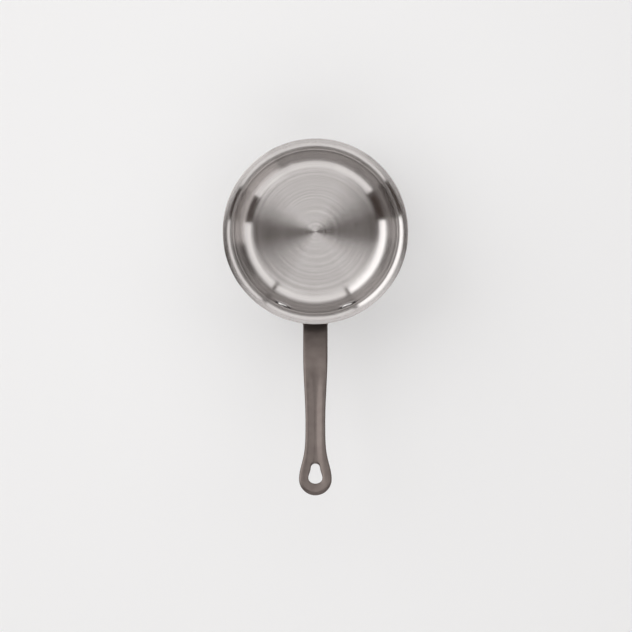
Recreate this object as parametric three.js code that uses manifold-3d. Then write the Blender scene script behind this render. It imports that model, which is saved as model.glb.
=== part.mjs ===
// Butter warmer: a small clad saucepan with a flared lip and a cast handle held by two rivets.
// Millimetres, +Z up. The origin is the centre of the underside, on the surface the pan stands on.
// The handle points along -Y.

import * as THREE from 'three';
import { mergeVertices } from 'three/addons/utils/BufferGeometryUtils.js';
import Module from 'manifold-3d';

// Pan body, measured on the cooking surface
const MOUTH_DIAMETER = 110.2;
const INSIDE_DEPTH = 54;
const CORNER_RADIUS = 14.6;
const LINING_THICKNESS = 0.5;
const CORE_THICKNESS = 1.6;
const SHELL_THICKNESS = 0.5;

// Lip: a bend out of the wall to the crest, then a short skirt that droops to the edge
const LIP_BEND_RADIUS = 5.2;
const LIP_SKIRT_REACH = 2.2;
const LIP_DROOP_ANGLE = 10;

// Handle seen from the side: a steep root, a bend and a straight grip
const HANDLE_REACH = 115;
const ROOT_ANGLE = 42;
const ROOT_RUN = 9;
const ROOT_RISE = 3.5;
const BEND_RADIUS = 60;
const GRIP_ANGLE = 11;
const ROOT_THICKNESS = 6.6;
const GRIP_THICKNESS = 5.6;
const EYE_THICKNESS = 4.6;

// Handle seen from above
const ROOT_WIDTH = 16.5;
const WAIST_WIDTH = 13.4;
const WAIST_FROM_TIP = 50;
const WAIST_TAPER = 46;
const EYE_DIAMETER = 22.2;
const EYE_FLARE = 14.5;
const EDGE_RADIUS = 1.5;
const DISH_DEPTH = 1.1;
const ROOT_FILLET = 2.5;
const EYE_DISH_SHARE = 0.3;
const BELLY_FULLNESS = 3;

// Pear-shaped hanging hole, wide end towards the tip
const HOLE_WIDE = 9.5;
const HOLE_NARROW = 6.2;
const HOLE_LOBE_SPACING = 7.1;
const HOLE_END_DEPTH = 3.8;
const HOLE_SET_BACK = 0.8;

// Flange of the handle, and the rivets through it
const FLANGE_THICKNESS = 2.6;
const FLANGE_END_HEIGHT = 15;
const FLANGE_CROWN = 2;
const FLANGE_EDGE_RADIUS = 0.9;
const RIVET_ANGLE = 23.6;
const RIVET_BELOW_RIM = 16;
const RIVET_SHANK_DIAMETER = 3.8;
const RIVET_HEAD_DIAMETER = 12;
const RIVET_HEAD_HEIGHT = 2.4;
const RIVET_TAIL_DIAMETER = 9.5;
const RIVET_TAIL_HEIGHT = 1.4;
const RIVET_EDGE = 0.4;

// Gaps between separate pieces, and the reach of cutting solids past what they cut
const SEAT_GAP = 0.3;
const HOLE_CLEARANCE = 0.3;
const OVERCUT = 4;

// Fineness of the round forms, and the distance at which two points are one
const PAN_SEGMENTS = 48;
const ARC_STEPS = 5;
const SKIRT_STEPS = 2;
const RIVET_SEGMENTS = 24;
const SECTION_STEPS = { top: 6, edge: 3, belly: 10 };
const HANDLE_STEPS = { root: 16, bend: 8, grip: 16, eye: 10 };
const FLANGE_STEPS = { middle: 16, end: 6 };
const HOLE_STEPS = 8;
const TIP_FLAT = 0.15;
const SAME_POINT = 1e-4;

const wallThickness = LINING_THICKNESS + CORE_THICKNESS + SHELL_THICKNESS;
const mouthRadius = MOUTH_DIAMETER / 2;
const outerRadius = mouthRadius + wallThickness;
const crestRadius = mouthRadius + LIP_BEND_RADIUS;
const rimRadius = crestRadius + LIP_SKIRT_REACH;
const rimHeight = wallThickness + INSIDE_DEPTH;
const flangeInside = outerRadius + SEAT_GAP;
const flangeOutside = flangeInside + FLANGE_THICKNESS;
const rivetHeight = rimHeight - RIVET_BELOW_RIM;
const rivetTurn = THREE.MathUtils.degToRad(RIVET_ANGLE);
const quarterTurn = Math.PI / 2;

const wasm = await Module();
wasm.setup();

// A closed geometry as a solid that can be joined and cut.
function solidOf(geometry) {
  const bare = new THREE.BufferGeometry();
  bare.setAttribute('position', geometry.getAttribute('position'));
  bare.setIndex(geometry.getIndex());
  const merged = mergeVertices(bare, SAME_POINT);
  const corners = merged.getIndex().array;
  const triangles = [];
  for (let i = 0; i < corners.length; i += 3) {
    const [a, b, c] = corners.slice(i, i + 3);
    if (a !== b && b !== c && c !== a) triangles.push(a, b, c);
  }
  return new wasm.Manifold(new wasm.Mesh({
    numProp: 3,
    vertProperties: merged.getAttribute('position').array,
    triVerts: new Uint32Array(triangles),
  }));
}

// A finished solid as a named mesh of one material.
function meshOf(name, solid, material) {
  const { vertProperties, triVerts } = solid.getMesh();
  const geometry = new THREE.BufferGeometry();
  geometry.setAttribute('position', new THREE.BufferAttribute(vertProperties, 3));
  geometry.setIndex(new THREE.BufferAttribute(triVerts, 1));
  geometry.computeVertexNormals();
  const mesh = new THREE.Mesh(geometry, material);
  mesh.name = name;
  return mesh;
}

// Points along a row of curves that follow on from each other, without doubles.
function pointsAlong(curves) {
  const points = [];
  for (const [curve, steps] of curves) {
    for (const point of curve.getPoints(steps)) {
      const last = points.at(-1);
      if (!last || last.distanceTo(point) > SAME_POINT) points.push(point);
    }
  }
  return points;
}

function line(x0, y0, x1, y1) {
  return [new THREE.LineCurve(new THREE.Vector2(x0, y0), new THREE.Vector2(x1, y1)), 1];
}

function arc(x, y, radiusX, radiusY, from, to, steps = ARC_STEPS) {
  return [new THREE.EllipseCurve(x, y, radiusX, radiusY, from, to, to < from), steps];
}

// A solid of revolution about Z from a profile of (radius, height) points that runs upwards outside.
function revolve(profile, segments) {
  return solidOf(new THREE.LatheGeometry(profile, segments).rotateX(quarterTurn));
}

function cylinder(radius, low, high, segments) {
  const profile = [[0, low], [radius, low], [radius, high], [0, high]];
  return revolve(profile.map(([r, z]) => new THREE.Vector2(r, z)), segments);
}

// The pan's section at a depth under the cooking surface, from the axis to the edge of the lip.
function panSection(depth) {
  const floor = wallThickness - depth;
  const wall = mouthRadius + depth;
  const cornerX = mouthRadius - CORNER_RADIUS;
  const cornerZ = wallThickness + CORNER_RADIUS;
  const bendZ = rimHeight - LIP_BEND_RADIUS;
  const bend = LIP_BEND_RADIUS - depth;
  const droop = THREE.MathUtils.degToRad(LIP_DROOP_ANGLE);
  const skirtRadius = LIP_SKIRT_REACH / Math.sin(droop);
  const skirt = skirtRadius - depth;
  return pointsAlong([
    line(0, floor, cornerX, floor),
    arc(cornerX, cornerZ, CORNER_RADIUS + depth, CORNER_RADIUS + depth, -quarterTurn, 0),
    line(wall, cornerZ, wall, bendZ),
    arc(crestRadius, bendZ, bend, bend, Math.PI, quarterTurn),
    arc(crestRadius, rimHeight - skirtRadius, skirt, skirt, quarterTurn, quarterTurn - droop, SKIRT_STEPS),
  ]);
}

// A cutter for the hole that a rivet goes through, lying along -Y and turned to its place.
function rivetHole(side) {
  const radius = RIVET_SHANK_DIAMETER / 2 + HOLE_CLEARANCE;
  const geometry = new THREE.CylinderGeometry(
    radius,
    radius,
    flangeOutside - mouthRadius + 2 * OVERCUT,
    RIVET_SEGMENTS,
  );
  geometry.translate(0, -(mouthRadius + flangeOutside) / 2, rivetHeight);
  geometry.rotateZ(side * rivetTurn);
  return solidOf(geometry);
}

const rivetHoles = rivetHole(-1).add(rivetHole(1));

// One ply of the clad sheet, between two depths, with its rivet holes.
function ply(name, inside, outside, material) {
  const profile = [...panSection(outside), ...panSection(inside).reverse()];
  return meshOf(name, revolve(profile, PAN_SEGMENTS).subtract(rivetHoles), material);
}

// The line down the middle of the handle, as (distance from the pan's axis, height).
function handleSpine() {
  const root = THREE.MathUtils.degToRad(ROOT_ANGLE);
  const grip = THREE.MathUtils.degToRad(GRIP_ANGLE);
  const uphill = new THREE.Vector2(Math.cos(root), Math.sin(root));
  const atFlange = new THREE.Vector2(flangeOutside, rivetHeight + ROOT_RISE);
  const insideWall = (flangeOutside - mouthRadius + OVERCUT) / uphill.x;
  const start = atFlange.clone().addScaledVector(uphill, -insideWall);
  const bendStart = atFlange.clone().addScaledVector(uphill, ROOT_RUN);
  const centre = new THREE.Vector2(Math.sin(root), -Math.cos(root))
    .multiplyScalar(BEND_RADIUS)
    .add(bendStart);
  const bendEnd = new THREE.Vector2(-Math.sin(grip), Math.cos(grip))
    .multiplyScalar(BEND_RADIUS)
    .add(centre);
  const tipReach = rimRadius + HANDLE_REACH;
  const tip = new THREE.Vector2(tipReach, bendEnd.y + (tipReach - bendEnd.x) * Math.tan(grip));
  const spine = new THREE.CurvePath();
  spine.add(new THREE.LineCurve(start, bendStart));
  spine.add(new THREE.EllipseCurve(
    centre.x, centre.y, BEND_RADIUS, BEND_RADIUS,
    quarterTurn + root, quarterTurn + grip, true,
  ));
  spine.add(new THREE.LineCurve(bendEnd, tip));
  return spine;
}

// How far a round fillet stands out from a side, at a distance from the face that it meets.
function filletAt(distance) {
  const left = ROOT_FILLET - Math.min(Math.max(distance, 0), ROOT_FILLET);
  return ROOT_FILLET - Math.sqrt(ROOT_FILLET ** 2 - left ** 2);
}

// One cross-section of the handle: a dished top between two rounded edges, over a full round belly.
// The outline runs clockwise seen from the tip, with the edges' centres at height 0. Past the eye's
// centre, by a share of its radius, the belly rises all round to the eye's edge.
function handleSection(half, edgeX, edgeZ, dish, belly, pastShare) {
  const shoulder = half - edgeX;
  const top = new THREE.QuadraticBezierCurve(
    new THREE.Vector2(-shoulder, edgeZ),
    new THREE.Vector2(0, edgeZ - 2 * dish),
    new THREE.Vector2(shoulder, edgeZ),
  );
  const bellyPoints = spread(0, Math.PI, SECTION_STEPS.belly).map((turn) => {
    const across = Math.cos(turn);
    const outwards = Math.min(Math.hypot(pastShare, across * Math.sqrt(1 - pastShare ** 2)), 1);
    const depth = belly * (1 - outwards ** BELLY_FULLNESS) ** (1 / BELLY_FULLNESS);
    return new THREE.Vector2(half * across, -depth);
  });
  const edgeArc = (x, from, to) => arc(x, 0, edgeX, edgeZ, from, to)[0]
    .getPoints(SECTION_STEPS.edge)
    .slice(0, -1);
  return [
    ...top.getPoints(SECTION_STEPS.top).slice(0, -1),
    ...edgeArc(shoulder, quarterTurn, 0),
    ...bellyPoints,
    ...edgeArc(-shoulder, Math.PI, quarterTurn),
  ];
}

// A skin over rows of points, drawn to a point at both ends.
function loft(start, rows, end) {
  const count = rows[0].length;
  const points = [...rows.flat(), start, end];
  const triangles = [];
  for (let i = 0; i < count; i += 1) {
    const next = (i + 1) % count;
    const last = (rows.length - 1) * count;
    triangles.push(i, next, points.length - 2);
    triangles.push(last + next, last + i, points.length - 1);
    for (let row = 0; row < last; row += count) {
      triangles.push(row + i, row + count + next, row + next);
      triangles.push(row + i, row + count + i, row + count + next);
    }
  }
  const geometry = new THREE.BufferGeometry().setFromPoints(points);
  geometry.setIndex(triangles);
  return solidOf(geometry);
}

// Half the width of a round end, and of the flat face inside its rounded edge, at a distance past
// the end's centre. The edge's height falls to nothing at the end itself.
function roundEnd(radius, edge, past) {
  const flat = radius - edge;
  const half = Math.sqrt(radius ** 2 - past ** 2);
  const face = Math.max(Math.sqrt(Math.max(flat ** 2 - past ** 2, 0)), TIP_FLAT * half);
  return { half, face, height: Math.sqrt(edge ** 2 - Math.max(past - flat, 0) ** 2) };
}

// Places along a round end, closer together towards its tip, from its centre outwards.
function placesPast(radius, count) {
  return Array.from({ length: count }, (_, i) => radius * Math.sin((i / count) * quarterTurn));
}

// Even places from one value up to, but not including, another.
function spread(from, to, count) {
  return Array.from({ length: count }, (_, i) => THREE.MathUtils.lerp(from, to, i / count));
}

// The handle's grip and eye: sections along the spine, joined into one skin. They stand upright
// at the flange, where a fillet widens them, and lean over until they are square to the spine.
function handleBar() {
  const spine = handleSpine();
  const length = spine.getLength();
  const eyeRadius = EYE_DIAMETER / 2;
  const { smoothstep, lerp } = THREE.MathUtils;
  const [, bendLength, gripLength] = spine.curves.map((curve) => curve.getLength());
  const bendStart = gripLength + bendLength;

  function sectionAt(fromTip) {
    const at = spine.getPoint(1 - fromTip / length);
    const along = spine.getTangent(1 - fromTip / length);
    const steepness = smoothstep(fromTip, gripLength, bendStart);
    const toEye = Math.exp(-(((fromTip - eyeRadius) / EYE_FLARE) ** 2));
    const gripThickness = lerp(GRIP_THICKNESS, EYE_THICKNESS, toEye);
    const taper = smoothstep(fromTip, WAIST_FROM_TIP, WAIST_FROM_TIP + WAIST_TAPER);
    const stem = lerp(WAIST_WIDTH, ROOT_WIDTH, taper) / 2;

    let half = lerp(stem, eyeRadius, toEye);
    let edgeX = EDGE_RADIUS;
    let edgeZ = EDGE_RADIUS;
    const belly = lerp(gripThickness, ROOT_THICKNESS, steepness) - EDGE_RADIUS;
    let dish = DISH_DEPTH * (1 - steepness) * lerp(1, EYE_DISH_SHARE, toEye);
    const past = Math.max(eyeRadius - fromTip, 0);
    if (past > 0) {
      const end = roundEnd(eyeRadius, EDGE_RADIUS, past);
      half = end.half;
      edgeX = end.half - end.face;
      edgeZ = end.height;
      dish *= end.half / eyeRadius;
    }
    const fillet = filletAt(at.x - flangeOutside);
    const lean = smoothstep(at.x, flangeOutside, flangeOutside + ROOT_RUN);
    const up = new THREE.Vector2(0, 1 / along.x).lerp(new THREE.Vector2(-along.y, along.x), lean);
    const sizes = [half + fillet, edgeX, edgeZ + fillet, dish, belly + fillet, past / eyeRadius];
    return handleSection(...sizes)
      .map((p) => new THREE.Vector3(p.x, -at.x - p.y * up.x, at.y + p.y * up.y));
  }

  const stations = [
    ...spread(length, bendStart, HANDLE_STEPS.root),
    ...spread(bendStart, gripLength, HANDLE_STEPS.bend),
    ...spread(gripLength, eyeRadius, HANDLE_STEPS.grip),
    ...placesPast(eyeRadius, HANDLE_STEPS.eye).map((past) => eyeRadius - past),
  ];
  const [inner, tip] = [0, 1].map((end) => spine.getPoint(end));
  return loft(
    new THREE.Vector3(0, -inner.x, inner.y),
    stations.map(sectionAt),
    new THREE.Vector3(0, -tip.x, tip.y),
  );
}

// The flange: upright sections set round the wall and joined into one skin. It is taller behind
// the grip, and its ends are round about the rivets.
function flange() {
  const endRadius = FLANGE_END_HEIGHT / 2;
  const reach = flangeOutside * rivetTurn;
  const backing = flangeOutside - mouthRadius;
  const edge = FLANGE_EDGE_RADIUS;

  function placed(round, radius, height) {
    const turn = round / flangeOutside;
    return new THREE.Vector3(
      radius * Math.sin(turn),
      -radius * Math.cos(turn),
      rivetHeight + height,
    );
  }

  function sectionAt(round) {
    const past = Math.abs(round) - reach;
    const crown = FLANGE_CROWN * (1 - THREE.MathUtils.smoothstep(Math.abs(round), 0, reach));
    const end = roundEnd(endRadius, edge, Math.max(past, 0));
    const half = end.half + crown;
    const face = end.face + crown;
    const outline = [
      arc(0, face, end.height, half - face, quarterTurn, 0, SECTION_STEPS.edge),
      arc(0, -face, end.height, half - face, 0, -quarterTurn, SECTION_STEPS.edge),
      line(0, -half, -backing, -half),
      line(-backing, -half, -backing, half),
    ];
    return pointsAlong(outline)
      .map((p) => placed(round, flangeOutside - edge + p.x, p.y));
  }

  const past = placesPast(endRadius, FLANGE_STEPS.end);
  const stations = [
    ...past.map((place) => reach + place).reverse(),
    ...spread(reach, -reach, FLANGE_STEPS.middle).slice(1),
    ...past.map((place) => -reach - place),
  ];
  const tips = [1, -1].map((side) => placed(side * (reach + endRadius), flangeOutside - edge, 0));
  return loft(tips[0], stations.map(sectionAt), tips[1]);
}

// A cutter for the hanging hole, square to the grip.
function hangingHole() {
  const wide = HOLE_WIDE / 2;
  const narrow = HOLE_NARROW / 2;
  const outline = new THREE.Shape();
  outline.moveTo(wide, 0);
  outline.bezierCurveTo(
    wide, HOLE_LOBE_SPACING / 2,
    narrow, HOLE_LOBE_SPACING / 2,
    narrow, HOLE_LOBE_SPACING,
  );
  outline.absarc(0, HOLE_LOBE_SPACING, narrow, 0, Math.PI, false);
  outline.bezierCurveTo(
    -narrow, HOLE_LOBE_SPACING / 2,
    -wide, HOLE_LOBE_SPACING / 2,
    -wide, 0,
  );
  outline.absellipse(0, 0, wide, HOLE_END_DEPTH, Math.PI, 2 * Math.PI, false);
  const depth = 2 * (EYE_THICKNESS + OVERCUT);
  const geometry = new THREE.ExtrudeGeometry(outline, {
    depth,
    curveSegments: HOLE_STEPS,
    bevelEnabled: false,
  });
  geometry.translate(0, HOLE_SET_BACK + EYE_DIAMETER / 2, -depth / 2);
  geometry.rotateX(-THREE.MathUtils.degToRad(GRIP_ANGLE));
  const tip = handleSpine().getPoint(1);
  geometry.translate(0, -tip.x, tip.y);
  return solidOf(geometry);
}

// The cast handle, cut to the wall and drilled for the rivets.
function handle() {
  const seat = cylinder(flangeInside, -rimHeight, 2 * rimHeight, PAN_SEGMENTS);
  return handleBar()
    .add(flange())
    .subtract(seat)
    .subtract(hangingHole())
    .subtract(rivetHoles);
}

// A rivet lying along -Y: a domed head inside the pan, and a flatter head over the flange.
// The underside of each head follows the surface that it is pressed against.
function rivet() {
  const headSeat = mouthRadius - SEAT_GAP;
  const tailSeat = flangeOutside + SEAT_GAP;
  const inside = cylinder(headSeat, 0, rimHeight, PAN_SEGMENTS);
  const outside = cylinder(tailSeat, 0, rimHeight, PAN_SEGMENTS);

  function domed(radius, height) {
    return pointsAlong([
      line(0, -OVERCUT / 2, radius, -OVERCUT / 2),
      line(radius, -OVERCUT / 2, radius, RIVET_EDGE),
      arc(0, RIVET_EDGE, radius, height - RIVET_EDGE, 0, quarterTurn),
    ]);
  }

  function placed(profile, distance, towards) {
    const geometry = new THREE.LatheGeometry(profile, RIVET_SEGMENTS);
    if (towards < 0) geometry.rotateZ(Math.PI);
    geometry.translate(0, -distance, rivetHeight);
    return solidOf(geometry);
  }

  const shankLength = tailSeat - headSeat + 2 * RIVET_EDGE;
  const shank = new THREE.CylinderGeometry(
    RIVET_SHANK_DIAMETER / 2,
    RIVET_SHANK_DIAMETER / 2,
    shankLength,
    RIVET_SEGMENTS,
  );
  shank.translate(0, -(headSeat + tailSeat) / 2, rivetHeight);
  const head = placed(domed(RIVET_HEAD_DIAMETER / 2, RIVET_HEAD_HEIGHT), headSeat, 1);
  const tail = placed(domed(RIVET_TAIL_DIAMETER / 2, RIVET_TAIL_HEIGHT), tailSeat, -1);
  return head.intersect(inside).add(tail.subtract(outside)).add(solidOf(shank));
}

const liningSteel = new THREE.MeshStandardMaterial({ color: 0xc8c6c4, roughness: 0.3, metalness: 1 });
const coreAluminium = new THREE.MeshStandardMaterial({ color: 0xd6d7d9, roughness: 0.45, metalness: 1 });
const shellSteel = new THREE.MeshStandardMaterial({ color: 0xc2c0be, roughness: 0.25, metalness: 1 });
const castMetal = new THREE.MeshStandardMaterial({ color: 0x6a605c, roughness: 0.45, metalness: 1 });
const rivetSteel = new THREE.MeshStandardMaterial({ color: 0xbebbb8, roughness: 0.3, metalness: 1 });

const coreDepth = LINING_THICKNESS + CORE_THICKNESS;
const butterWarmer = new THREE.Group();
butterWarmer.add(
  ply('inner_lining', 0, LINING_THICKNESS, liningSteel),
  ply('aluminium_core', LINING_THICKNESS, coreDepth, coreAluminium),
  ply('outer_shell', coreDepth, wallThickness, shellSteel),
  meshOf('handle', handle(), castMetal),
);
for (const [name, side] of [['rivet_left', -1], ['rivet_right', 1]]) {
  const mesh = meshOf(name, rivet(), rivetSteel);
  mesh.rotation.z = side * rivetTurn;
  butterWarmer.add(mesh);
}

export default butterWarmer;
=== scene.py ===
import math

import bmesh
import bpy
from mathutils import Matrix, Vector


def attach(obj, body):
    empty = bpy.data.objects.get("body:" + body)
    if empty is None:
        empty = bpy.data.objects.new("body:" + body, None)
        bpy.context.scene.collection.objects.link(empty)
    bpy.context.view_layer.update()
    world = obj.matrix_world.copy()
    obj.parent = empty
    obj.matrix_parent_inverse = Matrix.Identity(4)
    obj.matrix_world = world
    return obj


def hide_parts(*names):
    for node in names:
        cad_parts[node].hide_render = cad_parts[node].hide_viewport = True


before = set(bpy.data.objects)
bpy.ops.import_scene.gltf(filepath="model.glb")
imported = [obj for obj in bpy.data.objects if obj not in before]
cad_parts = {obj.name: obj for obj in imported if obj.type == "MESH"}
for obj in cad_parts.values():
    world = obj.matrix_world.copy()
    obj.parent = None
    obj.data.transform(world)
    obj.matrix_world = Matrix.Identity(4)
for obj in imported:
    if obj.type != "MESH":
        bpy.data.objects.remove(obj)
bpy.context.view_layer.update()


# Clad sheet of the pan: steel, aluminium and steel, bonded flat, drawn to a round cup over a punch,
# then turned out and trimmed at the lip. Each ply is its drawn section spun round the pan's axis.
sheet_thickness = 0.0026
cup_radius = 0.0551
cup_depth = 0.054
corner_radius = 0.0154
lip_bend = 0.0052
lip_skirt_reach = 0.0022
lip_droop = math.radians(10)
lip_skirt_bend = lip_skirt_reach / math.sin(lip_droop)
rim_height = sheet_thickness + cup_depth
corner_start = cup_radius - corner_radius
crest_radius = cup_radius + lip_bend
floor_stops, wall_stops = (0.5, 0.97, 1), (0.04, 0.96, 1)
corner_steps, bend_steps, skirt_steps, round_steps = 24, 20, 5, 256
weld_distance = 1e-6
crease_angle = math.radians(40)


def draw_to(bm, vert, across, height):
    """Draws a straight line on from a point of a section."""
    new = bmesh.ops.extrude_vert_indiv(bm, verts=[vert])["verts"][0]
    new.co = (across, 0, height)
    return new


def draw_round(bm, vert, across, height, angle, steps):
    """Draws an arc on from a point of a section, about a centre."""
    turned = bmesh.ops.spin(
        bm, geom=[vert], cent=(across, 0, height), axis=(0, 1, 0), angle=angle, steps=steps
    )
    return next(v for v in turned["geom_last"] if isinstance(v, bmesh.types.BMVert))


def spin_section(bm, steps):
    """Spins a section right round Z into a closed skin that faces outwards."""
    bmesh.ops.spin(
        bm,
        geom=bm.verts[:] + bm.edges[:],
        cent=(0, 0, 0),
        axis=(0, 0, 1),
        angle=2 * math.pi,
        steps=steps,
        use_merge=True,
    )
    bmesh.ops.remove_doubles(bm, verts=bm.verts, dist=weld_distance)
    bmesh.ops.recalc_face_normals(bm, faces=bm.faces)


def make_piece(bm, name, materials):
    """Puts a finished mesh in the scene, smooth but for its creases."""
    mesh = bpy.data.meshes.new(name)
    bm.to_mesh(mesh)
    bm.free()
    mesh.shade_smooth()
    mesh.set_sharp_from_angle(angle=crease_angle)
    for material in materials:
        mesh.materials.append(material)
    piece = bpy.data.objects.new(name, mesh)
    bpy.context.collection.objects.link(piece)
    return piece


def draw_sheet_surface(bm, depth):
    """Draws the line of the sheet at a depth under the cooking surface, from the axis to the lip."""
    base = sheet_thickness - depth
    wall = cup_radius + depth
    corner_top = sheet_thickness + corner_radius
    bend_height = rim_height - lip_bend
    vert = bm.verts.new((0, 0, base))
    for share in floor_stops:
        vert = draw_to(bm, vert, corner_start * share, base)
    vert = draw_round(bm, vert, corner_start, corner_top, -math.pi / 2, corner_steps)
    for share in wall_stops:
        vert = draw_to(bm, vert, wall, corner_top + share * (bend_height - corner_top))
    vert = draw_round(bm, vert, crest_radius, bend_height, math.pi / 2, bend_steps)
    return draw_round(bm, vert, crest_radius, rim_height - lip_skirt_bend, lip_droop, skirt_steps)


def spun_ply(name, inside, outside, materials, zone, edge_round):
    """One ply between two depths, with the edges of its trimmed lip rounded off."""
    bm = bmesh.new()
    ends = [draw_sheet_surface(bm, depth) for depth in (inside, outside)]
    bm.edges.new(ends)
    bmesh.ops.bevel(
        bm, geom=ends, offset=edge_round, segments=3, profile=0.5, affect="VERTICES", material=-1
    )
    spin_section(bm, round_steps)
    for face in bm.faces:
        face.material_index = zone(face.calc_center_median())
    return make_piece(bm, name, materials)


# Inner lining: stainless steel, 0.5 mm. The floor is brushed in circles on a turning tool, the corner
# and the wall finer along the same circles, and the lip is buffed.
lining_thickness = 0.0005
line_weight, band_weight = 0.6, 0.4
mark_depth = 2e-5
across_the_marks = 0.25
finish_change_start, finish_change_end = corner_start - 0.002, corner_start + 0.004


def add_node(tree, kind, **values):
    """Adds a node and sets its inputs by name, from a value or from another node's socket."""
    new = tree.nodes.new(kind)
    for name, value in values.items():
        socket = new.inputs[name.replace("_", " ")]
        if isinstance(value, bpy.types.NodeSocket):
            tree.links.new(value, socket)
        else:
            socket.default_value = value
    return new


def do_math(tree, operation, *values):
    """A Math node on values or sockets."""
    new = tree.nodes.new("ShaderNodeMath")
    new.operation = operation
    for socket, value in zip(new.inputs, values):
        if isinstance(value, bpy.types.NodeSocket):
            tree.links.new(value, socket)
        else:
            socket.default_value = value
    return new.outputs[0]


def new_group(name, inputs, outputs):
    """An empty shader node group with float inputs and outputs."""
    group = bpy.data.node_groups.new(name, "ShaderNodeTree")
    for label, value in inputs.items():
        socket = group.interface.new_socket(label, in_out="INPUT", socket_type="NodeSocketFloat")
        socket.default_value = value
    for label in outputs:
        group.interface.new_socket(label, in_out="OUTPUT", socket_type="NodeSocketFloat")
    return group, group.nodes.new("NodeGroupInput"), group.nodes.new("NodeGroupOutput")


def build_turning_marks():
    """Scratches along circles about Z: fine lines, broken along their length, in broader bands."""
    group, given, result = new_group(
        "turning_marks", {"Lines per mm": 4.0, "Bands per mm": 0.5}, ("Lines", "Bands", "Off axis")
    )
    place = group.nodes.new("ShaderNodeTexCoord").outputs["Object"]
    parts = add_node(group, "ShaderNodeSeparateXYZ", Vector=place).outputs
    across = do_math(group, "SQRT", do_math(
        group, "ADD", do_math(group, "POWER", parts["X"], 2.0), do_math(group, "POWER", parts["Y"], 2.0)
    ))
    group.links.new(across, result.inputs["Off axis"])
    along_sheet = do_math(group, "ADD", across, parts["Z"])
    turn = do_math(group, "ARCTAN2", parts["Y"], parts["X"])
    for output, rate, waves, detail in (
        ("Lines", "Lines per mm", 0.3, 3.0),
        ("Bands", "Bands per mm", 0.15, 2.0),
    ):
        per_metre = do_math(group, "MULTIPLY", given.outputs[rate], 1000.0)
        spot = add_node(
            group,
            "ShaderNodeCombineXYZ",
            X=do_math(group, "MULTIPLY", along_sheet, per_metre),
            Y=do_math(group, "MULTIPLY", do_math(group, "SINE", turn), waves),
            Z=do_math(group, "MULTIPLY", do_math(group, "COSINE", turn), waves),
        ).outputs["Vector"]
        noise = add_node(
            group, "ShaderNodeTexNoise", Vector=spot, Scale=1.0, Detail=detail, Roughness=0.6
        )
        group.links.new(noise.outputs["Fac"], result.inputs[output])
    return group


turning_marks = build_turning_marks()


def mix_colors(tree, factor, first, second):
    """A blend of two colours."""
    new = tree.nodes.new("ShaderNodeMix")
    new.data_type = "RGBA"
    tree.links.new(factor, new.inputs["Factor"])
    new.inputs["A"].default_value = (*first, 1)
    new.inputs["B"].default_value = (*second, 1)
    return new.outputs["Result"]


def spread_to(tree, value, low, high):
    """Maps a noise value of about 0.3 to 0.7 to a range."""
    new = add_node(
        tree, "ShaderNodeMapRange", Value=value, From_Min=0.3, From_Max=0.7, To_Min=low, To_Max=high
    )
    return new.outputs["Result"]


def new_metal(name, roughness, anisotropic=0.0):
    """A bare metal, whose colour, roughness and bump are still to come."""
    material = bpy.data.materials.new(name)
    material.use_nodes = True
    shader = material.node_tree.nodes["Principled BSDF"]
    shader.inputs["Metallic"].default_value = 1
    shader.inputs["Roughness"].default_value = roughness
    shader.inputs["Anisotropic"].default_value = anisotropic
    return material, material.node_tree, shader


def turned_steel(name, dark, light, rough, rough_past, spread, anisotropic, lines, bands, bump):
    """Steel brushed along circles, so that its gloss spreads across them.

    The flat has the first roughness, and the corner and what lies past it the second.
    """
    material, tree, shader = new_metal(name, rough, anisotropic)
    shader.inputs["Anisotropic Rotation"].default_value = across_the_marks
    circles = tree.nodes.new("ShaderNodeTangent")
    circles.direction_type = "RADIAL"
    circles.axis = "Z"
    tree.links.new(circles.outputs["Tangent"], shader.inputs["Tangent"])
    marks = tree.nodes.new("ShaderNodeGroup")
    marks.node_tree = turning_marks
    marks.inputs["Lines per mm"].default_value = lines
    marks.inputs["Bands per mm"].default_value = bands
    both = do_math(tree, "MULTIPLY_ADD", marks.outputs["Lines"], line_weight, do_math(
        tree, "MULTIPLY", marks.outputs["Bands"], band_weight
    ))
    tint = mix_colors(tree, spread_to(tree, both, 0.0, 1.0), dark, light)
    tree.links.new(tint, shader.inputs["Base Color"])
    by_place = add_node(
        tree,
        "ShaderNodeMapRange",
        Value=marks.outputs["Off axis"],
        From_Min=finish_change_start,
        From_Max=finish_change_end,
        To_Min=rough,
        To_Max=rough_past,
    ).outputs["Result"]
    uneven = do_math(tree, "ADD", by_place, spread_to(tree, marks.outputs["Bands"], -spread, spread))
    tree.links.new(uneven, shader.inputs["Roughness"])
    relief = add_node(
        tree, "ShaderNodeBump", Strength=bump, Distance=mark_depth, Height=marks.outputs["Lines"]
    )
    tree.links.new(relief.outputs["Normal"], shader.inputs["Normal"])
    return material


brushed_inside = turned_steel(
    "brushed_inside",
    dark=(0.545, 0.525, 0.516),
    light=(0.695, 0.669, 0.658),
    rough=0.2,
    rough_past=0.175,
    spread=0.012,
    anisotropic=1.0,
    lines=2.2,
    bands=1.1,
    bump=0.12,
)
brushed_lip = turned_steel(
    "brushed_lip",
    dark=(0.57, 0.549, 0.54),
    light=(0.65, 0.626, 0.616),
    rough=0.2,
    rough_past=0.2,
    spread=0.015,
    anisotropic=1.0,
    lines=2.5,
    bands=0.3,
    bump=0.04,
)


def lining_zone(centre):
    """0 inside the cup, 1 on the lip."""
    return 1 if centre.z > rim_height - lip_bend else 0


lining = spun_ply(
    "lining_skin", 0, lining_thickness, (brushed_inside, brushed_lip), lining_zone, edge_round=0.0002
)
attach(lining, "root")
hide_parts("inner_lining")


# Core: soft aluminium, 1.6 mm, bonded between the steels to spread the heat. It shows only as the
# middle band of the trimmed edge round the lip.
core_thickness = 0.0016
core_depth = lining_thickness + core_thickness


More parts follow.
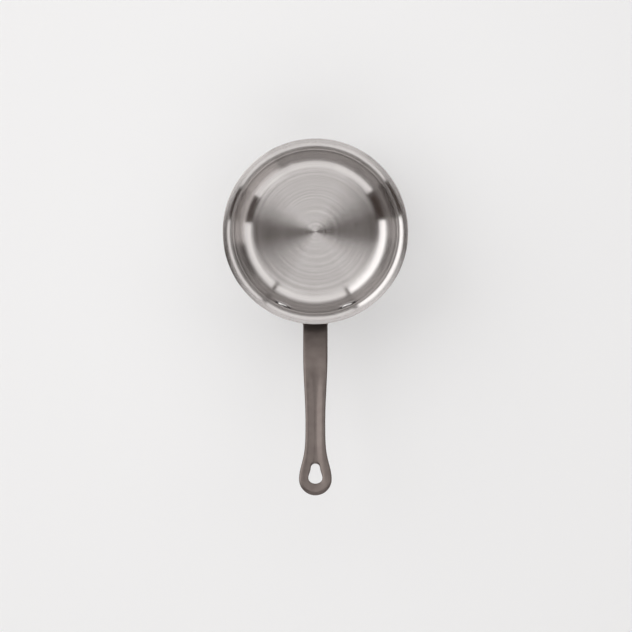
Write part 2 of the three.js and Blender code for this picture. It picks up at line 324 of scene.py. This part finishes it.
def bare_aluminium():
    """Sheet cut by a trimming tool, a little duller than the steels."""
    material, tree, shader = new_metal("trimmed_aluminium", 0.42)
    marks = tree.nodes.new("ShaderNodeGroup")
    marks.node_tree = turning_marks
    marks.inputs["Lines per mm"].default_value = 6.0
    shade = spread_to(tree, marks.outputs["Lines"], 0, 1)
    tint = mix_colors(tree, shade, (0.6, 0.605, 0.61), (0.72, 0.725, 0.73))
    tree.links.new(tint, shader.inputs["Base Color"])
    tree.links.new(spread_to(tree, marks.outputs["Bands"], 0.36, 0.48), shader.inputs["Roughness"])
    return material


core = spun_ply(
    "core_sheet", lining_thickness, core_depth, (bare_aluminium(),), lambda centre: 0, edge_round=0.0001
)
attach(core, "root")
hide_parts("aluminium_core")


# Outer shell: stainless steel, 0.5 mm, the outside of the pan. Wall and underside are brushed along
# circles, and the edge of the lip is broken with a fine belt.
brushed_outside = turned_steel(
    "brushed_outside",
    dark=(0.555, 0.54, 0.533),
    light=(0.655, 0.639, 0.631),
    rough=0.28,
    rough_past=0.26,
    spread=0.02,
    anisotropic=0.8,
    lines=1.3,
    bands=0.4,
    bump=0.02,
)
shell = spun_ply(
    "shell_skin", core_depth, sheet_thickness, (brushed_outside,), lambda centre: 0, edge_round=0.0002
)
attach(shell, "root")
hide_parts("outer_shell")


# Handle: one investment casting in a dark, warm grey metal with a satin finish. A dished grip runs
# from a flange, curved to the wall, up to an eye with a pear-shaped hole to hang the pan by.
flange_inside = 0.058
flange_outside = 0.0606
flange_end_height = 0.015
flange_crown = 0.002
flange_roundness = 0.35
rivet_height = 0.0406
rivet_turn = math.radians(23.6)
root_angle = math.radians(42)
grip_angle = math.radians(11)
root_height = rivet_height + 0.0035
root_run = 0.009
root_overlap = 0.0018
root_fillet = 0.0025
bend_radius = 0.06
tip_reach = 0.1773
root_width, waist_width, eye_width = 0.0165, 0.0134, 0.0222
root_thickness, grip_thickness, eye_thickness = 0.0066, 0.0056, 0.0046
waist_from_tip, waist_taper, eye_flare = 0.05, 0.046, 0.0145
edge_radius = 0.0015
dish_depth = 0.0013
dish_end, dish_run_out = 0.06, 0.042
belly_fullness = 3
hole_wide, hole_narrow = 0.0095, 0.0062
hole_lobe_spacing, hole_end_depth, hole_set_back = 0.0071, 0.0038, 0.0008
eye_radius = eye_width / 2
shaft_share, tip_share = 0.85, 0.15
top_end, edge_end, belly_end = 0.25, 0.375, 0.875
least_flat = 0.15


def smooth_between(value, low, high):
    """0 below low, 1 above high, and an S between them."""
    share = min(max((value - low) / (high - low), 0), 1)
    return share * share * (3 - 2 * share)


def mixed(first, second, share):
    """A value between two, by its share of the way."""
    return first + (second - first) * share


def along(slope):
    """One step out along a slope, as distance from the pan's axis and height."""
    return Vector((math.cos(slope), math.sin(slope)))


def square_to(slope):
    """One step up, square to a slope."""
    return Vector((-math.sin(slope), math.cos(slope)))


bend_start = Vector((flange_outside, root_height)) + root_run * along(root_angle)
bend_centre = bend_start - bend_radius * square_to(root_angle)
bend_end = bend_centre + bend_radius * square_to(grip_angle)
bend_length = bend_radius * (root_angle - grip_angle)
grip_length = (tip_reach - bend_end.x) / math.cos(grip_angle)
root_start = grip_length + bend_length + root_run + root_overlap / math.cos(root_angle)


def on_handle_line(from_tip):
    """A place on the handle's middle line, as distance from the pan's axis and height, and its slope."""
    if from_tip < grip_length:
        return bend_end + (grip_length - from_tip) * along(grip_angle), grip_angle
    if from_tip < grip_length + bend_length:
        slope = grip_angle + (from_tip - grip_length) / bend_radius
        return bend_centre + bend_radius * square_to(slope), slope
    return bend_start - (from_tip - grip_length - bend_length) * along(root_angle), root_angle


def on_grip(turn, share):
    """A point on the grip's skin: turn runs once round the section, share from the flange to the tip."""
    if share < shaft_share:
        from_tip = mixed(root_start, eye_radius, share / shaft_share)
    else:
        from_tip = eye_radius * (1 - math.sin((share - shaft_share) / tip_share * math.pi / 2))
    place, slope = on_handle_line(from_tip)
    steep = smooth_between(from_tip, grip_length, grip_length + bend_length)
    to_eye = math.exp(-(((from_tip - eye_radius) / eye_flare) ** 2))
    taper = smooth_between(from_tip, waist_from_tip, waist_from_tip + waist_taper)
    half = mixed(mixed(waist_width, root_width, taper) / 2, eye_radius, to_eye)
    thickness = mixed(mixed(grip_thickness, eye_thickness, to_eye), root_thickness, steep)
    dish = dish_depth * (1 - smooth_between(from_tip, dish_end, dish_end + dish_run_out))
    edge_width, edge_height = edge_radius, edge_radius
    past = max(eye_radius - from_tip, 0)
    end_share = past / eye_radius
    if past > 0:
        flat = eye_radius - edge_radius
        half = math.sqrt(eye_radius**2 - past**2)
        edge_width = half - max(math.sqrt(max(flat**2 - past**2, 0)), least_flat * half)
        edge_height = math.sqrt(edge_radius**2 - max(past - flat, 0) ** 2)
    near_flange = root_fillet - min(max(place.x - flange_outside, 0), root_fillet)
    fillet = root_fillet - math.sqrt(root_fillet**2 - near_flange**2)
    half += fillet
    edge_height += fillet
    belly = thickness - edge_radius + fillet
    shoulder = half - edge_width
    if turn < top_end:
        across = mixed(-shoulder, shoulder, turn / top_end)
        out = math.hypot(across, past) / math.hypot(shoulder, past)
        height = edge_height - dish * (1 + math.cos(math.pi * out)) / 2
    elif turn < edge_end:
        bend = (turn - top_end) / (edge_end - top_end) * math.pi / 2
        across = shoulder + edge_width * math.sin(bend)
        height = edge_height * math.cos(bend)
    elif turn < belly_end:
        side = math.cos((turn - edge_end) / (belly_end - edge_end) * math.pi)
        outwards = min(math.hypot(end_share, side * math.sqrt(1 - end_share**2)), 1)
        across = half * side
        height = -belly * (1 - outwards**belly_fullness) ** (1 / belly_fullness)
    else:
        bend = (turn - belly_end) / (1 - belly_end) * math.pi / 2
        across = -shoulder - edge_width * math.cos(bend)
        height = edge_height * math.sin(bend)
    lean = smooth_between(place.x, flange_outside, flange_outside + root_run)
    up = Vector((0, 1 / math.cos(slope))).lerp(square_to(slope), lean)
    spot = place + height * up
    return Vector((across, -spot.x, spot.y))


def on_flange(turn, share):
    """A point on the flange's skin: turn runs once round the section, share from end to end."""
    end_radius = flange_end_height / 2
    reach = flange_outside * rivet_turn
    place = -(reach + end_radius) * math.cos(share * math.pi)
    past = max(abs(place) - reach, 0)
    crown = flange_crown * (1 - smooth_between(abs(place), 0, reach))
    half = math.sqrt(max(end_radius**2 - past**2, 0)) + crown
    side, rise = math.cos(turn * 2 * math.pi), math.sin(turn * 2 * math.pi)
    out = math.copysign(abs(side) ** flange_roundness, side) * (flange_outside - flange_inside) / 2
    radius = (flange_outside + flange_inside) / 2 + out
    around = place / flange_outside
    return Vector((
        radius * math.sin(around),
        -radius * math.cos(around),
        rivet_height + math.copysign(abs(rise) ** flange_roundness, rise) * half,
    ))


def wrap(bm, surface, around, lengthwise):
    """Lays a flat grid on a tube-like surface and closes its seam and its ends."""
    grid = bmesh.ops.create_grid(bm, x_segments=around, y_segments=lengthwise, size=0.5)["verts"]
    for vert in grid:
        vert.co = surface(vert.co.x + 0.5, vert.co.y + 0.5)
    bmesh.ops.remove_doubles(bm, verts=grid, dist=weld_distance)
    bmesh.ops.holes_fill(bm, edges=[e for e in bm.edges if e.is_boundary])


cutter_height = 0.02
hole_steps = 72


def pear_cutter():
    """The hanging hole as a solid: a pear outline, wide towards the tip, pulled through the eye."""
    bm = bmesh.new()
    outline = bmesh.ops.create_circle(bm, cap_ends=True, segments=hole_steps, radius=1)["verts"]
    long = hole_end_depth + hole_lobe_spacing + hole_narrow / 2
    for vert in outline:
        place = (1 - vert.co.y) / 2 * long - hole_end_depth
        if place < 0:
            half = hole_wide / 2 * math.sqrt(max(1 - (place / hole_end_depth) ** 2, 0))
        elif place < hole_lobe_spacing:
            half = mixed(hole_wide, hole_narrow, smooth_between(place, 0, hole_lobe_spacing)) / 2
        else:
            half = math.sqrt(max((hole_narrow / 2) ** 2 - (place - hole_lobe_spacing) ** 2, 0))
        from_tip = eye_radius + hole_set_back + place
        vert.co = (math.copysign(half, vert.co.x), from_tip, -cutter_height / 2)
    pulled = bmesh.ops.extrude_face_region(bm, geom=bm.faces[:])["geom"]
    top = [v for v in pulled if isinstance(v, bmesh.types.BMVert)]
    bmesh.ops.translate(bm, verts=top, vec=(0, 0, cutter_height))
    bmesh.ops.remove_doubles(bm, verts=bm.verts, dist=1e-7)
    bmesh.ops.recalc_face_normals(bm, faces=bm.faces)
    tip = on_handle_line(0)[0]
    bmesh.ops.rotate(bm, verts=bm.verts, cent=(0, 0, 0), matrix=Matrix.Rotation(-grip_angle, 3, "X"))
    bmesh.ops.translate(bm, verts=bm.verts, vec=(0, -tip.x, tip.y))
    return make_piece(bm, "pear_cutter", ())


def apply_modifiers(piece):
    """Leaves the piece with the mesh that its modifiers make."""
    evaluated = piece.evaluated_get(bpy.context.evaluated_depsgraph_get())
    mesh = bpy.data.meshes.new_from_object(evaluated)
    piece.modifiers.clear()
    piece.data = mesh
    mesh.shade_smooth()


skin_voxel = 0.00032
soften_factor = 0.5
skin_passes, fillet_passes, eye_passes = 12, 80, 24
fillet_full, fillet_gone = 0.011, 0.016
fillet_foot, fillet_top = 0.002, 0.005
flange_skin = 0.0004
eye_blend_start, eye_blend_full = 0.034, 0.026


def casting(material):
    """Grip, eye and flange run together and softened, as wax and metal leave them."""
    bm = bmesh.new()
    wrap(bm, on_grip, around=120, lengthwise=200)
    bmesh.ops.recalc_face_normals(bm, faces=bm.faces)
    piece = make_piece(bm, "cast_handle", (material,))
    cutter = pear_cutter()
    hole = piece.modifiers.new("hanging_hole", "BOOLEAN")
    hole.operation = "DIFFERENCE"
    hole.object = cutter
    apply_modifiers(piece)
    bpy.data.objects.remove(cutter)
    bm = bmesh.new()
    bm.from_mesh(piece.data)
    wrap(bm, on_flange, around=64, lengthwise=120)
    bmesh.ops.recalc_face_normals(bm, faces=bm.faces)
    bm.to_mesh(piece.data)
    bm.free()
    skin = piece.modifiers.new("one_skin", "REMESH")
    skin.mode = "VOXEL"
    skin.voxel_size = skin_voxel
    soften = piece.modifiers.new("soften", "SMOOTH")
    soften.factor = soften_factor
    soften.iterations = skin_passes
    apply_modifiers(piece)
    fillet = piece.vertex_groups.new(name="root_fillet")
    eye = piece.vertex_groups.new(name="eye")
    root = Vector((0, -flange_outside, root_height))
    for vert in piece.data.vertices:
        out = math.hypot(vert.co.x, vert.co.y) - flange_outside
        if out > -flange_skin:
            near = 1 - smooth_between((vert.co - root).length, fillet_full, fillet_gone)
            low = 1 - smooth_between(out, fillet_foot, fillet_top)
            fillet.add([vert.index], near * low, "REPLACE")
        in_eye = smooth_between(-vert.co.y, tip_reach - eye_blend_start, tip_reach - eye_blend_full)
        eye.add([vert.index], in_eye, "REPLACE")
    for group, passes in ((fillet, fillet_passes), (eye, eye_passes)):
        blend = piece.modifiers.new("blend_" + group.name, "SMOOTH")
        blend.vertex_group = group.name
        blend.factor = soften_factor
        blend.iterations = passes
    apply_modifiers(piece)
    piece.vertex_groups.clear()
    return piece


blasted_rough, rubbed_rough = 0.6, 0.3
rubbing_start, rubbing_full = 0.066, 0.095


def satin_casting():
    """Dark warm grey metal, blasted fine and then rubbed along the grip, its gloss faintly cloudy."""
    material, tree, shader = new_metal("satin_casting", rubbed_rough)
    place = tree.nodes.new("ShaderNodeTexCoord").outputs["Object"]
    cloud = add_node(tree, "ShaderNodeTexNoise", Vector=place, Scale=160.0, Detail=3.0).outputs["Fac"]
    grain = add_node(tree, "ShaderNodeTexNoise", Vector=place, Scale=2600.0, Detail=2.0).outputs["Fac"]
    tint = mix_colors(tree, spread_to(tree, cloud, 0, 1), (0.155, 0.13, 0.12), (0.185, 0.157, 0.145))
    tree.links.new(tint, shader.inputs["Base Color"])
    parts = add_node(tree, "ShaderNodeSeparateXYZ", Vector=place).outputs
    rubbed = add_node(
        tree,
        "ShaderNodeMapRange",
        Value=do_math(tree, "MULTIPLY", parts["Y"], -1.0),
        From_Min=rubbing_start,
        From_Max=rubbing_full,
        To_Min=blasted_rough,
        To_Max=rubbed_rough,
    ).outputs["Result"]
    uneven = do_math(tree, "ADD", rubbed, spread_to(tree, cloud, -0.02, 0.02))
    tree.links.new(uneven, shader.inputs["Roughness"])
    relief = add_node(tree, "ShaderNodeBump", Strength=0.08, Distance=mark_depth, Height=grain)
    tree.links.new(relief.outputs["Normal"], shader.inputs["Normal"])
    return material


handle = casting(satin_casting())
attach(handle, "root")
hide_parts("handle")


# Rivets: solid stainless rivets through the flange and the wall, the domed factory head inside the
# pan and the flatter upset head over the flange. A thin dark line of painted shade runs round the edge
# of the inner heads, where they meet the wall.
rivet_shank = 0.0019
head_radius, head_height = 0.006, 0.0024
tail_radius, tail_height = 0.00475, 0.0014
rivet_edge = 0.0004
dome_roundness = 0.62
dome_steps, rivet_steps = 16, 64
# Radius from which the rim of the inner head takes the dark line of painted shade.
painted_shade_start = 0.98 * head_radius
seat_gap = 0.0003
head_seat = cup_radius - seat_gap
tail_seat = flange_outside + seat_gap


def draw_dome(bm, vert, radius, base, height):
    """Draws half a dome on from a point at the rim, to the axis, fuller than an ellipse."""
    before = set(bm.verts)
    draw_round(bm, vert, 0, base, -math.pi / 2 if height > 0 else math.pi / 2, dome_steps)
    new = [v for v in bm.verts if v not in before]
    for point in new:
        out = max(point.co.x / radius, 0) ** dome_roundness
        up = (abs(point.co.z - base) / radius) ** dome_roundness
        point.co = (out * radius, 0, base + up * height)


def set_rivet(name, side, materials):
    """A rivet drawn standing on its upset head, spun, then laid down and turned to its place."""
    bm = bmesh.new()
    length = tail_seat - head_seat
    shank_foot = bm.verts.new((rivet_shank, 0, 0))
    vert = draw_to(bm, shank_foot, rivet_shank, length)
    vert = draw_to(bm, vert, head_radius, length)
    vert = draw_to(bm, vert, head_radius, length + rivet_edge)
    draw_dome(bm, vert, head_radius, length + rivet_edge, head_height - rivet_edge)
    vert = draw_to(bm, shank_foot, tail_radius, 0)
    vert = draw_to(bm, vert, tail_radius, -rivet_edge)
    draw_dome(bm, vert, tail_radius, -rivet_edge, -(tail_height - rivet_edge))
    spin_section(bm, rivet_steps)
    bmesh.ops.rotate(bm, verts=bm.verts, cent=(0, 0, 0), matrix=Matrix.Rotation(-math.pi / 2, 3, "X"))
    bmesh.ops.translate(bm, verts=bm.verts, vec=(0, -tail_seat, rivet_height))
    for vert in bm.verts:
        if abs(vert.co.y + head_seat) < weld_distance:
            vert.co.y = -math.sqrt(head_seat**2 - vert.co.x**2)
        elif abs(vert.co.y + tail_seat) < weld_distance:
            vert.co.y = -math.sqrt(tail_seat**2 - vert.co.x**2)
    # Faces of the inner head's rim, next to the wall, take the second material: a dark line of painted
    # shade.
    for face in bm.faces:
        centre = face.calc_center_median()
        at_wall = abs(centre.y + head_seat) < rivet_edge
        off_axis = math.hypot(centre.x, centre.z - rivet_height)
        face.material_index = 1 if at_wall and off_axis > painted_shade_start else 0
    turn = Matrix.Rotation(side * rivet_turn, 3, "Z")
    bmesh.ops.rotate(bm, verts=bm.verts, cent=(0, 0, 0), matrix=turn)
    return make_piece(bm, name, materials)


def satin_rivet_steel():
    """Stainless wire, tumbled after heading."""
    material, tree, shader = new_metal("tumbled_steel", 0.14)
    place = tree.nodes.new("ShaderNodeTexCoord").outputs["Object"]
    dents = add_node(tree, "ShaderNodeTexNoise", Vector=place, Scale=900.0, Detail=2.0).outputs["Fac"]
    tint = mix_colors(tree, spread_to(tree, dents, 0, 1), (0.56, 0.55, 0.545), (0.63, 0.62, 0.615))
    tree.links.new(tint, shader.inputs["Base Color"])
    tree.links.new(spread_to(tree, dents, 0.11, 0.17), shader.inputs["Roughness"])
    relief = add_node(tree, "ShaderNodeBump", Strength=0.04, Distance=mark_depth, Height=dents)
    tree.links.new(relief.outputs["Normal"], shader.inputs["Normal"])
    return material


def painted_joint_shade():
    """Painted shade in the gap round the edge of a head, where it meets the wall: a thin dark line."""
    material, tree, shader = new_metal("painted_shade_in_joint", 0.6)
    place = tree.nodes.new("ShaderNodeTexCoord").outputs["Object"]
    patches = add_node(tree, "ShaderNodeTexNoise", Vector=place, Scale=600.0, Detail=2.0).outputs["Fac"]
    tint = mix_colors(tree, spread_to(tree, patches, 0, 1), (0.08, 0.073, 0.069), (0.2, 0.185, 0.175))
    tree.links.new(tint, shader.inputs["Base Color"])
    tree.links.new(spread_to(tree, patches, 0.5, 0.7), shader.inputs["Roughness"])
    return material


# The second material is the dark line of painted shade round the inner heads.
rivet_steel_and_painted_shade = (satin_rivet_steel(), painted_joint_shade())
for name, side in (("rivet_left", -1), ("rivet_right", 1)):
    rivet = set_rivet(name + "_set", side, rivet_steel_and_painted_shade)
    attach(rivet, "root")
    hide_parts(name)


# Camera: straight above the pan and far away, so that the wall hardly shows, as in the photograph.
# Its place and its lens put the pan's axis and the scale where the photograph has them.
image_width = 632
metres_per_pixel = 0.0006723
pan_centre_in_image = (315.38, 231.33)
camera_height = 12.0
sensor_width = 36
camera_data = bpy.data.cameras.new("camera")
camera_data.sensor_width = sensor_width
camera_data.lens = sensor_width * camera_height / (image_width * metres_per_pixel)
camera = bpy.data.objects.new("camera", camera_data)
camera.location = (
    (image_width / 2 - pan_centre_in_image[0]) * metres_per_pixel,
    -(image_width / 2 - pan_centre_in_image[1]) * metres_per_pixel,
    rim_height + camera_height,
)
bpy.context.collection.objects.link(camera)
bpy.context.scene.camera = camera
bpy.context.scene.view_settings.view_transform = "Standard"


# Floor: a seamless sheet of pale paper. A share of its own glow, for the eye and for reflections only,
# keeps it pale and the shadows on it faint. From below it is clear, so that the pan's base shows.
floor_size = 12
floor_drop = 0.0001
paper_glow = 0.325
floor_mesh = bmesh.new()
bmesh.ops.create_grid(floor_mesh, x_segments=1, y_segments=1, size=floor_size)
bmesh.ops.translate(floor_mesh, verts=floor_mesh.verts, vec=(0, 0, -floor_drop))
paper = bpy.data.materials.new("pale_paper")
paper.use_nodes = True
paper_tree = paper.node_tree
paper_shader = paper_tree.nodes["Principled BSDF"]
paper_shader.inputs["Base Color"].default_value = (0.625, 0.625, 0.627, 1)
paper_shader.inputs["Roughness"].default_value = 0.9
paper_shader.inputs["Specular IOR Level"].default_value = 0.1
paper_shader.inputs["Emission Color"].default_value = (1, 1, 1, 1)
ray = paper_tree.nodes.new("ShaderNodeLightPath").outputs
reflected = do_math(paper_tree, "MAXIMUM", ray["Is Glossy Ray"], ray["Is Transmission Ray"])
seen = do_math(paper_tree, "MAXIMUM", ray["Is Camera Ray"], reflected)
glow = do_math(paper_tree, "MULTIPLY", seen, paper_glow)
paper_tree.links.new(glow, paper_shader.inputs["Emission Strength"])
underside = paper_tree.nodes.new("ShaderNodeNewGeometry").outputs["Backfacing"]
clear = paper_tree.nodes.new("ShaderNodeBsdfTransparent").outputs["BSDF"]
from_below = paper_tree.nodes.new("ShaderNodeMixShader")
paper_tree.links.new(underside, from_below.inputs["Fac"])
paper_tree.links.new(paper_shader.outputs["BSDF"], from_below.inputs[1])
paper_tree.links.new(clear, from_below.inputs[2])
paper_tree.links.new(from_below.outputs["Shader"], paper_tree.nodes["Material Output"].inputs["Surface"])
floor = make_piece(floor_mesh, "paper_floor", (paper,))


# Studio: two soft strips overhead, with a slit between them for the camera, and seven soft panels
# that stand round the pan with gaps between some of them, under a dark ceiling. Near the floor the
# room is pale.
strip_height = 0.9
panel_distance = 1.5
pale_below, dark_above = 0.06, 0.24


def hang_lamp(name, place, facing, width, height, radiance):
    """A rectangular lamp of an even brightness that faces a direction."""
    lamp = bpy.data.lights.new(name, "AREA")
    lamp.shape = "RECTANGLE"
    lamp.size = width
    lamp.size_y = height
    lamp.energy = radiance * math.pi * width * height
    holder = bpy.data.objects.new(name, lamp)
    holder.location = place
    holder.rotation_mode = "QUATERNION"
    holder.rotation_quaternion = facing.to_track_quat("-Z", "Y")
    holder.visible_camera = False
    bpy.context.collection.objects.link(holder)
    return holder


def overhead_strip(name, turn, near, far, left, right, radiance):
    """A strip that lies overhead, its four sides given from the axis as shares of its height."""
    back = math.radians(turn)
    outwards = Vector((-math.sin(back), math.cos(back), 0))
    rightwards = Vector((math.cos(back), math.sin(back), 0))
    place = outwards * (near + far) / 2 + rightwards * (left + right) / 2 + Vector((0, 0, 1))
    width, depth = (right - left) * strip_height, (far - near) * strip_height
    holder = hang_lamp(name, place * strip_height, Vector((0, 0, -1)), width, depth, radiance)
    holder.rotation_mode = "XYZ"
    holder.rotation_euler = (0, 0, back)


def standing_panel(name, first, last, low, high, radiance):
    """An upright panel between two azimuths and two angles off the zenith, in degrees."""
    turn = math.radians((first + last) / 2)
    way = Vector((math.cos(turn), math.sin(turn), 0))
    bottom = panel_distance / math.tan(math.radians(low))
    top = panel_distance / math.tan(math.radians(high))
    width = 2 * panel_distance * math.tan(math.radians(last - first) / 2)
    place = way * panel_distance + Vector((0, 0, (top + bottom) / 2))
    hang_lamp(name, place, -way, width, top - bottom, radiance)


for name, turn in (("back_strip", -0.6), ("front_strip", 179.4)):
    overhead_strip(name, turn, near=0.04, far=0.35, left=-0.3, right=0.17, radiance=1.0)
for name, first, last, low, high, radiance in (
    ("left_panel", 119.6, 189.5, 78, 25, 1.82),
    ("front_left_panel", 215.7, 253.5, 62, 25, 1.17),
    ("front_panel", 253.5, 291.2, 62, 25, 1.1),
    ("front_right_panel", 291.2, 329, 62, 25, 1.03),
    ("right_panel", -7.2, 52.6, 60, 20, 1.15),
    ("back_right_panel", 55.6, 86.1, 62, 24.5, 1.135),
    ("back_left_panel", 86.1, 116.6, 62, 24.5, 1.135),
):
    standing_panel(name, first, last, low, high, radiance)

world = bpy.data.worlds.new("studio")
bpy.context.scene.world = world
world.use_nodes = True
room = world.node_tree
direction = room.nodes.new("ShaderNodeTexCoord").outputs["Generated"]
way_up = add_node(room, "ShaderNodeSeparateXYZ", Vector=direction).outputs["Z"]
ceiling = add_node(
    room, "ShaderNodeMapRange", Value=way_up, From_Min=pale_below, From_Max=dark_above
).outputs["Result"]
shade = mix_colors(room, ceiling, (0.8, 0.8, 0.79), (0.05, 0.034, 0.028))
by_camera = room.nodes.new("ShaderNodeLightPath").outputs["Is Camera Ray"]
backdrop = mix_colors(room, by_camera, (0, 0, 0), (0.82, 0.82, 0.81))
room.links.new(shade, backdrop.node.inputs["A"])
room.links.new(backdrop, room.nodes["Background"].inputs["Color"])
